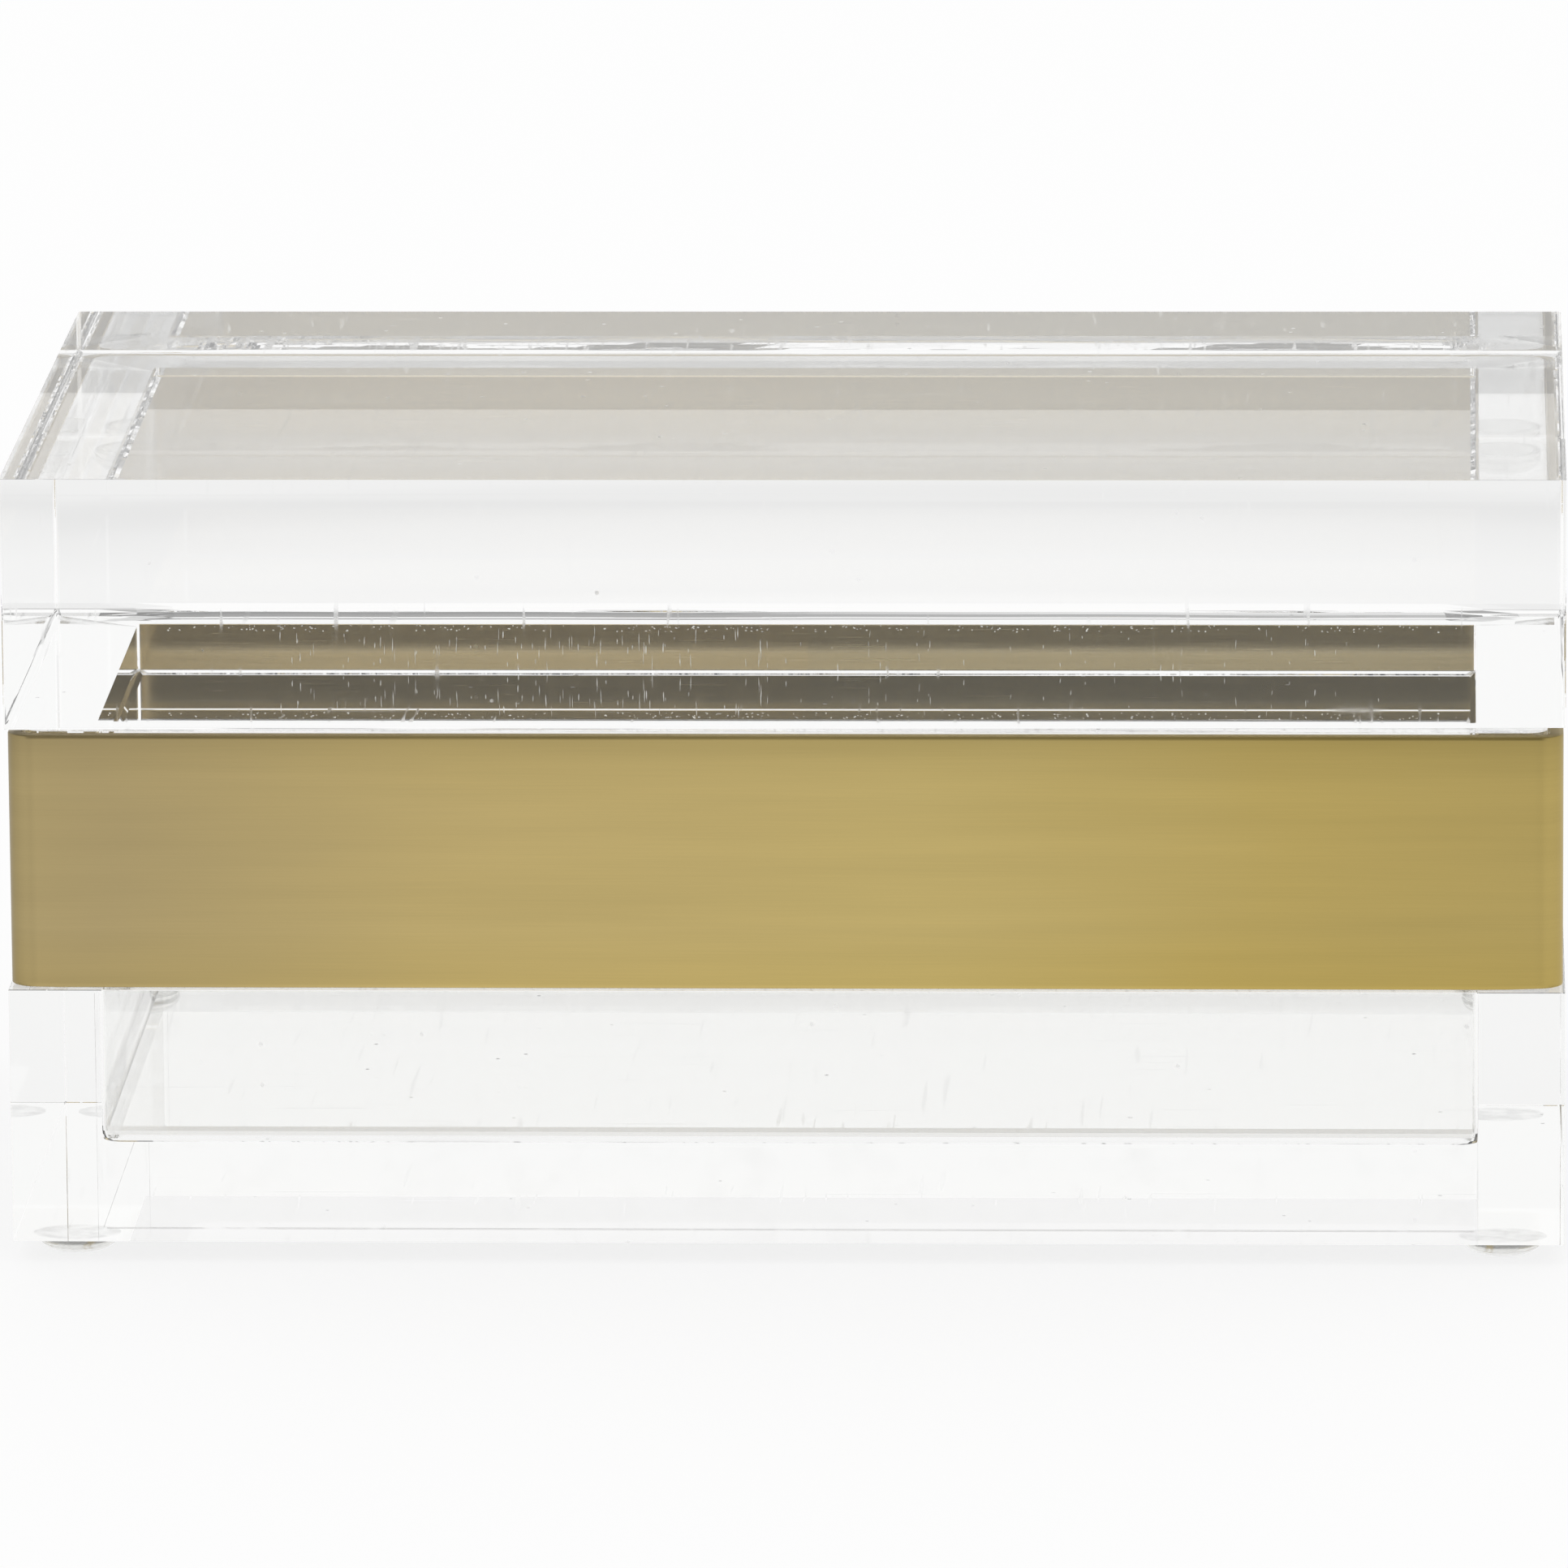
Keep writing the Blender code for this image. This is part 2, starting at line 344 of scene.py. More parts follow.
print("rise of the roll in mm:", ROLL_LEFT / MM, "to", ROLL_RIGHT / MM)

# %% The lid's outlines
LID_CORNER = 0.4 * MM
LID_EASE = 0.03 * MM
SIDE_SHARES = [i / 40 for i in range(1, 40)]
# Points of an outline that lie further back than this belong to the back edge.
BACK_STARTS = HALF_DEPTH - 1 * MM

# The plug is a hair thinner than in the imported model, and its lower edge is eased. Each row is how far in,
# and how far up, in mm.
PLUG_DEPTH = plug_high.z - plug_low.z - 0.12 * MM
PLUG_CORNER = 0.5 * MM
PLUG_EDGE = [(0.8, 0.0), (0.08, 0.35), (0.0, 0.46)]


def lid_plan(inset, front_inset=None):
    """The lid block's outline, drawn in by inset, or by front_inset at the front."""
    front = inset if front_inset is None else front_inset
    edge_x = HALF_WIDTH - inset
    return plan(-edge_x, edge_x, front - HALF_DEPTH, HALF_DEPTH - inset, LID_CORNER, SIDE_SHARES)


def plug_plan(inset):
    edge_x = plug_high.x - inset
    edge_y = plug_high.y - inset
    return plan(-edge_x, edge_x, -edge_y, edge_y, PLUG_CORNER, SIDE_SHARES)


def worn_loop(step):
    """One outline on the underside, from the plug out to the edge of the lid."""
    t = step / (len(SIDE_WEAR) - 1)
    worn = lid_plan(SIDE_WEAR[step][0] * MM, ROLL_DEPTH * (1 - t))
    loop = []
    for (x, y), (_, face_y) in zip(worn, lid_plan(0)):
        z = underside(y) + side_rise(step, t, x, y)
        if face_y > BACK_STARTS:
            deep, rise = back_wear(step, x)
            y = min(face_y, HALF_DEPTH - deep)
            z = underside(y) + rise
        loop.append((x, y, z))
    return loop


def lid_loops():
    loops = []
    for inset, rise in PLUG_EDGE:
        loops.append([(x, y, underside(y) - PLUG_DEPTH + rise * MM) for x, y in plug_plan(inset * MM)])
    loops.append([(x, y, underside(y)) for x, y in plug_plan(0)])
    loops += [worn_loop(step) for step in range(len(SIDE_WEAR))]
    loops.append([(x, y, LID_TOP - LID_EASE) for x, y in lid_plan(0)])
    loops.append([(x, y, LID_TOP) for x, y in lid_plan(LID_EASE)])
    return loops


print("loops from the plug up to the top:", len(lid_loops()))

# %% Lid block and plug
bm = bmesh.new()
loft(bm, lid_loops())
lid = finish_mesh("lid_block_with_plug", bm, lid_acrylic)
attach(lid, "lid")
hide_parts("lid_block", "lid_plug")

# %% [markdown]
# ## The walls and the floor
# Five plates are cemented edge to edge. Solvent cement melts the acrylic together, so the joints all but
# vanish and the plates are drawn as one body: up the outside, over the rebate for the band, down the inside.
# Cement leaves a fillet in the inner corners at the bottom, widest along the front.

# %% Outlines of the walls
EASE = 0.1 * MM
REBATE = HALF_WIDTH - band_high.x + STRIP + CEMENT
REBATE_CORNER = 3.0 * MM
RIM = WALL_TOP + 0.2 * MM
RIM_BEVEL = 0.08 * MM
BACK_CORNER = 0.35 * MM
FRONT_CORNER = 0.8 * MM
FRONT_FLARE = 3.2 * MM
FILLET = 2.8 * MM
SIDE_FILLET = 0.05 * MM
FILLET_STEPS = 6
# The inner faces have one more loop at this level.
ABOVE_FILLET = FLOOR_TOP + 8 * MM


def outer_plan(inset, radius=EASE):
    edge_x = HALF_WIDTH - inset
    edge_y = HALF_DEPTH - inset
    return plan(-edge_x, edge_x, -edge_y, edge_y, radius)


def inner_plan(inset, front_inset=None, front_radius=FRONT_CORNER):
    """The opening's outline. Its front corners are rounder than its back ones."""
    front = inset if front_inset is None else front_inset
    edge_x = OPENING_X - inset
    edge_y = OPENING_Y - inset
    return plan(-edge_x, edge_x, front - OPENING_Y, edge_y, BACK_CORNER, front_radius=front_radius)


def at(points, z):
    """Plan points, put at a level."""
    return [(x, y, z) for x, y in points]


print("rebate in mm:", round(REBATE / MM, 2), "rim above the walls:", round((RIM - WALL_TOP) / MM, 2))


# %% Walls and floor in one body
def wall_loops():
    """Up the outside, in over the rebate and the rim, down the inside and round the fillet to the floor."""
    loops = [
        at(outer_plan(EASE), BOTTOM),
        at(outer_plan(0), BOTTOM + EASE),
        at(outer_plan(0), LEDGE - EASE),
        at(outer_plan(EASE), LEDGE),
        at(outer_plan(REBATE, REBATE_CORNER), LEDGE),
        at(outer_plan(REBATE, REBATE_CORNER), RIM),
        at(inner_plan(-RIM_BEVEL), RIM),
        at(inner_plan(0), RIM - RIM_BEVEL),
        at(inner_plan(0), ABOVE_FILLET),
    ]
    for i in range(FILLET_STEPS + 1):
        t = i / FILLET_STEPS
        angle = math.radians(90 * t)
        bulge = 1 - math.cos(angle)
        ring = inner_plan(SIDE_FILLET * bulge, FILLET * bulge, FRONT_CORNER + FRONT_FLARE * t**2)
        loops.append(at(ring, FLOOR_TOP + FILLET * (1 - math.sin(angle))))
    return loops


bm = bmesh.new()
loft(bm, wall_loops())
walls = finish_mesh("walls_and_floor", bm, wall_acrylic)
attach(walls, "base")
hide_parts("front_wall", "back_wall", "left_wall", "right_wall", "floor_plate")

# %% [markdown]
# ## Satin brass
# The band is rubbed along its length with fine abrasive and then handled. Its tone wanders: greyer where it
# has been touched, more golden where it is clean. At the two front bends a dark reflection is painted into its
# colour. The texture follows the strip, so it is laid out in the strip's own UV map, in metres along and up,
# and bends with it round the corners.

# %% Tones of the brass
# A tone's place is a share of this length, and a level's place a share of the strip's height.
STRIP_LENGTH = 0.72
OUTSIDE_TONES = [
    (0.00, (0.66, 0.51, 0.210)),
    (0.16, (0.62, 0.48, 0.180)),
    (0.345, (0.57, 0.435, 0.150)),
    (0.40, (0.62, 0.47, 0.155)),
    (0.47, (0.68, 0.53, 0.205)),
    (0.56, (0.665, 0.515, 0.215)),
    (0.64, (0.56, 0.44, 0.215)),
    (0.70, (0.58, 0.46, 0.215)),
    (0.85, (0.66, 0.51, 0.200)),
]
INSIDE_TONES = [(0.0, (0.75, 0.65, 0.43)), (0.4, (0.71, 0.63, 0.45)), (0.7, (0.77, 0.655, 0.42))]
OUTSIDE_LEVELS = [(0.0, 0.96), (0.815, 0.96), (0.907, 0.9), (1.0, 0.77)]
# Inside, the colour is darker in the middle of the strip's height: painted shade.
INSIDE_SHADE_LEVELS = [(0.0, 1.0), (0.16, 1.0), (0.28, 0.62), (0.52, 0.60), (0.68, 1.0)]
# At the two front bends a dark reflection is painted into the colour: where along the strip, and how much light
# they lose.
PAINTED_DARK_BENDS = [(472.5 * MM, 0.42), (243.2 * MM, 0.12)]
BEND_REACH = 5 * MM
print("tones outside and inside:", len(OUTSIDE_TONES), len(INSIDE_TONES))


# %% More node helpers
def tone_ramp(tree, value, stops):
    """A colour ramp. Each stop is a place, and a grey level or a colour."""
    made = add_node(tree, "ShaderNodeValToRGB", {"Fac": value})
    elements = made.color_ramp.elements
    while len(elements) > 1:
        elements.remove(elements[-1])
    for i, (where, tone) in enumerate(stops):
        element = elements[0] if i == 0 else elements.new(where)
        element.position = where
        element.color = (*tone, 1.0) if isinstance(tone, tuple) else (tone, tone, tone, 1.0)
    return made.outputs["Color"]


def mix_colour(tree, blending, share, first, second):
    colours = {0: share, 6: first, 7: second}
    return add_node(tree, "ShaderNodeMix", colours, data_type="RGBA", blend_type=blending).outputs[2]


def strip_place(tree):
    """The place in the strip's own map, whole and as its two parts."""
    strip = add_node(tree, "ShaderNodeUVMap", uv_map="strip").outputs[0]
    return strip, add_node(tree, "ShaderNodeSeparateXYZ", {0: strip}).outputs


# %% Brass materials
# How closely each pattern is packed along and up the strip, per metre.
CLOUDS = (11.0, 30.0, 1.0)
SMEARS = (14.0, 260.0, 1.0)
GRAIN = (55.0, 4200.0, 1.0)
CLOUD_DRIFT = 0.10
GOLDEN = (0.99, 0.975, 0.88, 1.0)
GOLDEN_FROM, GOLDEN_AT = 9 * MM, 0.5 * MM
ROUGHNESS_SWING = 0.06


def wandering_tone(tree, strip, where, tones):
    """The tone along the strip, shifted a little by soft clouds and more golden at the lower edge."""
    cloud = noise(tree, strip, 3.0, stretch=CLOUDS)
    drift = math_node(tree, "MULTIPLY", math_node(tree, "SUBTRACT", cloud, 0.5), CLOUD_DRIFT)
    along = math_node(tree, "ADD", math_node(tree, "DIVIDE", where[0], STRIP_LENGTH), drift)
    low = ramp(tree, where[1], GOLDEN_FROM, GOLDEN_AT)
    return mix_colour(tree, "MULTIPLY", low, tone_ramp(tree, along, tones), GOLDEN)


# Darkens the colour near each bend given: a painted dark reflection.
def paint_dark_reflection_at_bends(tree, shade, where, bends):
    for bend, loss in bends:
        away = math_node(tree, "ABSOLUTE", math_node(tree, "SUBTRACT", where[0], bend))
        lost = math_node(tree, "MULTIPLY", ramp(tree, away, BEND_REACH, 0.0), loss)
        shade = math_node(tree, "MULTIPLY", shade, math_node(tree, "SUBTRACT", 1.0, lost))
    return shade


def brushed_brass(name, tones, roughness, levels, bends=()):
    """Tones along the strip, darkened by levels of height, by smears and grain, and by a painted dark reflection
    at the bends given.
    """
    material, tree, shader = new_material(name)
    strip, where = strip_place(tree)
    grain = noise(tree, strip, 3.0, stretch=GRAIN)
    smear = noise(tree, strip, 2.0, stretch=SMEARS)
    shade = math_node(tree, "MULTIPLY", rescale(tree, smear, 0.90, 1.06), rescale(tree, grain, 0.93, 1.05))
    shade = paint_dark_reflection_at_bends(tree, shade, where, bends)
    grey = add_node(tree, "ShaderNodeCombineColor", {0: shade, 1: shade, 2: shade}).outputs[0]
    by_height = tone_ramp(tree, math_node(tree, "DIVIDE", where[1], STRIP_HEIGHT), levels)
    golden = wandering_tone(tree, strip, where, tones)
    golden = mix_colour(tree, "MULTIPLY", 1.0, golden, by_height)
    scratches = {"Height": grain, "Distance": 0.004 * MM, "Strength": 0.6}
    set_inputs(tree, shader, {
        "Metallic": 1.0,
        "Base Color": mix_colour(tree, "MULTIPLY", 1.0, golden, grey),
        "Roughness": rescale(tree, grain, roughness - ROUGHNESS_SWING, roughness + ROUGHNESS_SWING),
        "Normal": add_node(tree, "ShaderNodeBump", scratches).outputs[0],
    })
    return material


outer_brass = brushed_brass("satin_brass_outside", OUTSIDE_TONES, 0.36, OUTSIDE_LEVELS, PAINTED_DARK_BENDS)
inner_brass = brushed_brass("brass_inside_with_painted_shade", INSIDE_TONES, 0.25, INSIDE_SHADE_LEVELS)
print("brass:", outer_brass.name, inner_brass.name)

# %% [markdown]
# ## The brass band
# One strip is bent round four corners and butted at the back. A strip with a rounded section is swept along
# a path of straight runs and bends. A curve with a bevel object would do it too, but a loft also lets the
# edges waver as a hand-bent strip does.

# %% The way round the box
BEND = 1.5 * MM
BEND_STEPS = 14
SEAM = 0.3 * MM
STATION = 4 * MM


def bend_stations(in_x, in_y):
    """Stations round the four bends, clockwise from the back right one."""
    stations = []
    for side_x, side_y, start in ((1, 1, 90), (1, -1, 0), (-1, -1, -90), (-1, 1, -180)):
        for i in range(BEND_STEPS + 1):
            a = math.radians(start - 90 * i / BEND_STEPS)
            out_x, out_y = math.cos(a), math.sin(a)
            x = side_x * (in_x - BEND) + BEND * out_x
            y = side_y * (in_y - BEND) + BEND * out_y
            stations.append((x, y, out_x, out_y))
    return stations


def band_path():
    """Stations along the strip's inner face, clockwise from the seam: x, y, and the way out."""
    in_x = band_high.x - STRIP
    in_y = band_high.y - STRIP
    seam = [(x, in_y, 0.0, 1.0) for x in (0.0, SEAM, -SEAM)]
    stations = seam[:2] + bend_stations(in_x, in_y) + seam[2:]
    path = [stations[0]]
    for here, there in zip(stations, stations[1:]):
        length = math.hypot(there[0] - here[0], there[1] - here[1])
        count = max(1, round(length / STATION))
        for i in range(1, count + 1):
            path.append(tuple(blend(a, b, i / count) for a, b in zip(here, there)))
    return path


print("stations along the strip:", len(band_path()))

# %% The strip's section
BREAK = 0.2 * MM
INNER_BREAK = 0.05 * MM
# In mm: how far the lower edge lifts at the front corners, and the upper edge's rise and its dip.
LIFT_RIGHT, LIFT_LEFT = 0.55, 0.45
RISE, DIP = 0.05, 0.4


def groove(x, y):
    """The butted ends leave a fine groove on the outside, at the middle of the back."""
    return SEAM if y > 0 and abs(x) < SEAM / 2 else 0.0


def lower_edge(x, y):
    """The strip's lower edge lifts a little at the front corners."""
    right = near(HALF_WIDTH - x, 12 * MM)
    left = near(HALF_WIDTH + x, 6 * MM)
    return (LIFT_RIGHT * right**2 + LIFT_LEFT * left**1.5) * near(HALF_DEPTH + y, 9 * MM) * MM


def upper_edge(x, y):
    """Its upper edge stands a hair above the walls, and dips towards the back right corner."""
    right = near(HALF_WIDTH - x, 14 * MM)
    return (RISE - DIP * right**2 * near(HALF_DEPTH - y, 10 * MM)) * MM


def band_section(low, high, sunk):
    """Points round the section, from the inner face out: how far out, and the level."""
    face = STRIP - sunk
    chamfer = BREAK * 0.3
    lower = [
        (0, low + INNER_BREAK),
        (INNER_BREAK, low),
        (face - BREAK, low),
        (face - chamfer, low + chamfer),
        (face, low + BREAK),
        (face, low + 3 * BREAK),
    ]
    return lower + [(out, high - (z - low)) for out, z in reversed(lower)]


def band_ring(x, y, out_x, out_y):
    """The section, stood up at one station."""
    section = band_section(band_low.z + lower_edge(x, y), band_high.z + upper_edge(x, y), groove(x, y))
    return [(x + out * out_x, y + out * out_y, z) for out, z in section]


print("section points:", len(band_ring(*band_path()[0])))


# %% Sweep the strip
def make_band():
    bm = bmesh.new()
    uv = bm.loops.layers.uv.new("strip")
    path = band_path()
    outer = [(x + STRIP * out_x, y + STRIP * out_y) for x, y, out_x, out_y in path]
    along = [0.0]
    for here, there in zip(outer, outer[1:]):
        along.append(along[-1] + math.dist(here, there))
    rings = [[bm.verts.new(p) for p in band_ring(*station)] for station in path[:-1]]
    rings.append(rings[0])
    for k, (here, there) in enumerate(zip(rings, rings[1:])):
        for i in range(len(here)):
            face = bm.faces.new((here[i - 1], here[i], there[i], there[i - 1]))
            for corner, step in zip(face.loops, (k, k, k + 1, k + 1)):
                corner[uv].uv = (along[step], corner.vert.co.z - band_low.z)
            # The face between the section's last point and its first is the strip's inner face.
            face.material_index = 1 if i == 0 else 0
    print("strip length in mm:", round(along[-1] / MM, 1))
    return finish_mesh("brass_band_strip", bm, outer_brass, inner_brass, smooth_below=35)


band = make_band()
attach(band, "base")
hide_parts("brass_band")

# %% [markdown]
# ## Bumper feet
# Four moulded polyurethane bumpers are stuck under the corners. They are all alike, so Geometry Nodes make
# them: a grid is wrapped round an axis like a lathe, its profile is a short sum of curves, and the result is
# instanced at four places.

# %% Bumper material and sizes
BUMPER_INDEX = 1.48
HAZE_SCALE = 600.0
# How far the top of a foot reaches up into its adhesive.
INTO_ADHESIVE = 0.25 * MM

foot_low, foot_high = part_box("front_right_foot")
foot_x = (foot_low.x + foot_high.x) / 2
foot_y = -(foot_low.y + foot_high.y) / 2
foot_sizes = {
    "Radius": (foot_high.x - foot_low.x) / 2,
    "Tip radius": 2.2 * MM,
    "Dome height": 2.3 * MM,
    "Height": foot_high.z - foot_low.z + INTO_ADHESIVE,
    "Spread x": foot_x,
    "Spread y": foot_y,
}


def bumper_material():
    material, tree, shader = new_material("clear_bumper")
    haze = noise(tree, object_place(tree), 3.0, HAZE_SCALE)
    set_inputs(tree, shader, {
        "Base Color": mix_colour(tree, "MIX", haze, (0.93, 0.93, 0.91, 1.0), (0.97, 0.97, 0.96, 1.0)),
        "Roughness": rescale(tree, haze, 0.05, 0.16),
        "Transmission Weight": 0.95,
        "IOR": BUMPER_INDEX,
    })
    return material


bumper = bumper_material()
print("feet at", round(foot_x / MM, 2), round(foot_y / MM, 2), "mm")


# %% Geometry Nodes helpers
def new_tree(name, values):
    """A Geometry Nodes tree with a named input for each value: a whole number, a number or a vector."""
    tree = bpy.data.node_groups.new(name, "GeometryNodeTree")
    kinds = {int: "NodeSocketInt", float: "NodeSocketFloat", list: "NodeSocketVector"}
    sockets = {}
    for label, value in values.items():
        socket = tree.interface.new_socket(label, in_out="INPUT", socket_type=kinds[type(value)])
        socket.default_value = value
        sockets[label] = socket.identifier
    tree.interface.new_socket("Geometry", in_out="OUTPUT", socket_type="NodeSocketGeometry")
    return tree, sockets, tree.nodes.new("NodeGroupInput").outputs


def end_tree(tree, instances, material):
    """Makes the instances real, because the export drops them, and gives them their material."""
    real = add_node(tree, "GeometryNodeRealizeInstances", {0: instances})
    painted = add_node(tree, "GeometryNodeSetMaterial", {"Geometry": real.outputs[0], "Material": material})
    tree.links.new(painted.outputs[0], tree.nodes.new("NodeGroupOutput").inputs[0])


def plain_mesh_from(tree, sockets, values, name):
    """Runs a Geometry Nodes tree and keeps its result as a plain mesh object."""
    holder = show(name + "_maker", bpy.data.meshes.new(name + "_maker"))
    modifier = holder.modifiers.new("nodes", "NODES")
    modifier.node_group = tree
    for label, value in values.items():
        modifier[sockets[label]] = value
    bpy.context.view_layer.update()
    evaluated = holder.evaluated_get(bpy.context.evaluated_depsgraph_get())
    mesh = bpy.data.meshes.new_from_object(evaluated)
    mesh.name = name
    holder.modifiers.remove(modifier)
    bpy.data.objects.remove(holder)
    print(name, "faces", len(mesh.polygons))
    return show(name, mesh)


# %% Feet in Geometry Nodes
FOOT_STEPS = 12
FOOT_SIDES = 48
# Steps 0 to 1 are the flat tip, 1 to 10 the dome, 10 to 11 the rim, 11 to 12 the flat top.
DOME_FROM, RIM_FROM, TOP_FROM = 1.0, 10.0, 11.0


def lathe_tree(name, sizes, material):
    """Wraps a grid into a dome and puts one at each of four corners."""
    tree, sockets, size = new_tree(name, sizes)

    def calc(operation, a, b=0.0):
        return math_node(tree, operation, a, b)

    def share(step, start, end):
        """0 up to the step called start, and 1 from the step called end."""
        passed = calc("DIVIDE", calc("SUBTRACT", step, start), end - start)
        return calc("MINIMUM", calc("MAXIMUM", passed, 0.0), 1.0)

    counts = {"Size X": 1.0, "Size Y": 1.0, "Vertices X": FOOT_STEPS + 1, "Vertices Y": FOOT_SIDES + 1}
    grid = add_node(tree, "GeometryNodeMeshGrid", counts)
    where = add_node(tree, "ShaderNodeSeparateXYZ", {0: add_node(tree, "GeometryNodeInputPosition").outputs[0]})
    step = calc("ROUND", calc("MULTIPLY", calc("ADD", where.outputs[0], 0.5), float(FOOT_STEPS)))
    turn = calc("MULTIPLY", calc("ADD", where.outputs[1], 0.5), 2 * math.pi)
    quarter = calc("MULTIPLY", share(step, DOME_FROM, RIM_FROM), math.pi / 2)
    rim = share(step, RIM_FROM, TOP_FROM)
    closing = calc("SUBTRACT", 1.0, share(step, TOP_FROM, float(FOOT_STEPS)))

    tip = rescale(tree, step, 0.0, size["Tip radius"])
    wider = calc("MULTIPLY", calc("SINE", quarter), calc("SUBTRACT", size["Radius"], size["Tip radius"]))
    radius = calc("MULTIPLY", calc("ADD", tip, wider), closing)
    dome_rise = calc("MULTIPLY", calc("SUBTRACT", 1.0, calc("COSINE", quarter)), size["Dome height"])
    rim_rise = calc("MULTIPLY", rim, calc("SUBTRACT", size["Height"], size["Dome height"]))
    x = calc("MULTIPLY", radius, calc("COSINE", turn))
    y = calc("MULTIPLY", radius, calc("SINE", turn))
    point = add_node(tree, "ShaderNodeCombineXYZ", {0: x, 1: y, 2: calc("ADD", dome_rise, rim_rise)})

    shaped = add_node(tree, "GeometryNodeSetPosition", {"Geometry": grid.outputs[0], "Position": point.outputs[0]})
    merged = add_node(tree, "GeometryNodeMergeByDistance", {"Geometry": shaped.outputs[0], "Distance": 0.01 * MM})
    smooth = add_node(tree, "GeometryNodeSetShadeSmooth", {"Geometry": merged.outputs[0]})
    corners = add_node(tree, "GeometryNodeMeshGrid", {
        "Size X": calc("MULTIPLY", size["Spread x"], 2.0),
        "Size Y": calc("MULTIPLY", size["Spread y"], 2.0),
        "Vertices X": 2,
        "Vertices Y": 2,
    })
    feet = {"Points": corners.outputs[0], "Instance": smooth.outputs[0]}
    end_tree(tree, add_node(tree, "GeometryNodeInstanceOnPoints", feet).outputs[0], material)
    return tree, sockets


foot_tree, foot_sockets = lathe_tree("bumper_lathe", foot_sizes, bumper)
feet = plain_mesh_from(foot_tree, foot_sockets, foot_sizes, "bumper_feet")
bm = bmesh.new()
bm.from_mesh(feet.data)
bmesh.ops.recalc_face_normals(bm, faces=bm.faces)
bm.to_mesh(feet.data)
bm.free()
feet.data.set_sharp_from_angle(angle=math.radians(40))
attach(feet, "base")
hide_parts("front_left_foot", "front_right_foot", "back_left_foot", "back_right_foot")

# %% [markdown]
# ## Cement lines and adhesive
# Where two plates are cemented, a fine broken line stays, brownish where the cement pooled. The bumpers' own
# adhesive shows as a pale disc through the bottom. Both are thin things inside the acrylic, so they are drawn
# as thin closed sheets that let most light through.

# %% Cement materials
PATCH_SCALE = 160.0
VEIL = 0.06


def sheet_material(name, colour, most, line_width, whole):
    """Mostly see-through, with a line along the edge at u = 0, broken where the noise is under whole."""
    material, tree, shader = new_material(name)
    across = strip_place(tree)[1][0]
    patches = noise(tree, object_place(tree), 3.0, PATCH_SCALE)
    edge = ramp(tree, across, line_width, line_width * 0.5)
    broken = math_node(tree, "MULTIPLY", edge, ramp(tree, patches, whole - 0.1, whole + 0.1))
    veil = math_node(tree, "MULTIPLY", ramp(tree, patches, 0.55, 0.75), VEIL)
    darker = [c * 0.75 for c in colour]
    set_inputs(tree, shader, {
        "Alpha": rescale(tree, math_node(tree, "MAXIMUM", broken, veil), 0.0, most),
        "Base Color": mix_colour(tree, "MIX", patches, (*colour, 1.0), (*darker, 1.0)),
        "Roughness": 0.6,
    })
    return material


joint_cement = sheet_material("cement_in_upright_joints", (0.42, 0.38, 0.32), 0.6, 0.30 * MM, 0.42)
floor_cement = sheet_material("cement_in_floor_joints", (0.50, 0.46, 0.40), 0.22, 0.12 * MM, 0.34)
print("cement:", joint_cement.name, floor_cement.name)


# %% Thin sheets inside the acrylic
def add_sheet(bm, uv, corner, along, across, thick):
    """A thin closed box. u runs across from the corner, v runs along it."""
    corner, along, across, thick = Vector(corner), Vector(along), Vector(across), Vector(thick)
    verts = {}
    for i in (0, 1):
        for j in (0, 1):
            for k in (0, 1):
                verts[i, j, k] = bm.verts.new(corner + along * i + across * j + thick * k)
    for axis in range(3):
        for side in (0, 1):
            keys = []
            for a, b in ((0, 0), (1, 0), (1, 1), (0, 1)):
                key = [a, b]
                key.insert(axis, side)
                keys.append(tuple(key))
            face = bm.faces.new([verts[key] for key in keys])
            for loop, key in zip(face.loops, keys):
                loop[uv].uv = (key[1] * across.length, key[0] * along.length)


def make_sheets(name, material, sheets):
    bm = bmesh.new()
    uv = bm.loops.layers.uv.new("strip")
    for sheet in sheets:
        add_sheet(bm, uv, *sheet)
    piece = finish_mesh(name, bm, material)
    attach(piece, "base")


# %% Cement in the joints
SHEET = 0.02 * MM
# How far a sheet stays behind the outer face, and how far it stops short of a corner.
BEHIND_FACE = 0.05 * MM
SHY = 0.5 * MM
seam_low = BOTTOM + 0.03 * MM
upright_reach = LEDGE - SHY - seam_low
upright_depth = HALF_DEPTH - OPENING_Y - 0.4 * MM
floor_reach = FLOOR_TOP - seam_low - CEMENT

upright = []
level = []
for side in (-1, 1):
    x = side * OPENING_X
    thick = (side * SHEET, 0, 0)
    for end in (-1, 1):
        # Butt joint of the front or back wall against a side wall, with its line at the outer face.
        corner = (x, end * (HALF_DEPTH - BEHIND_FACE), seam_low)
        upright.append((corner, (0, 0, upright_reach), (0, -end * upright_depth, 0), thick))
    # Floor plate against a side wall, then against the front or back wall, with the lines at the bottom.
    level.append(((x, SHY - OPENING_Y, seam_low), (0, 2 * (OPENING_Y - SHY), 0), (0, 0, floor_reach), thick))
for end in (-1, 1):
    corner = (SHY - OPENING_X, end * OPENING_Y, seam_low)
    level.append((corner, (2 * (OPENING_X - SHY), 0, 0), (0, 0, floor_reach), (0, end * SHEET, 0)))
make_sheets("upright_cement_lines", joint_cement, upright)
make_sheets("floor_cement_lines", floor_cement, level)

# %% Adhesive discs over the feet
DISC_SIDES = 40
BUBBLE_SCALE = 420.0
# The disc's section from its middle out and back, in mm: how far out, and how far above the bottom.
DISC_SECTION = [(0.1, 0.04), (6.3, 0.04), (6.5, 0.06), (6.3, 0.08), (0.1, 0.08)]


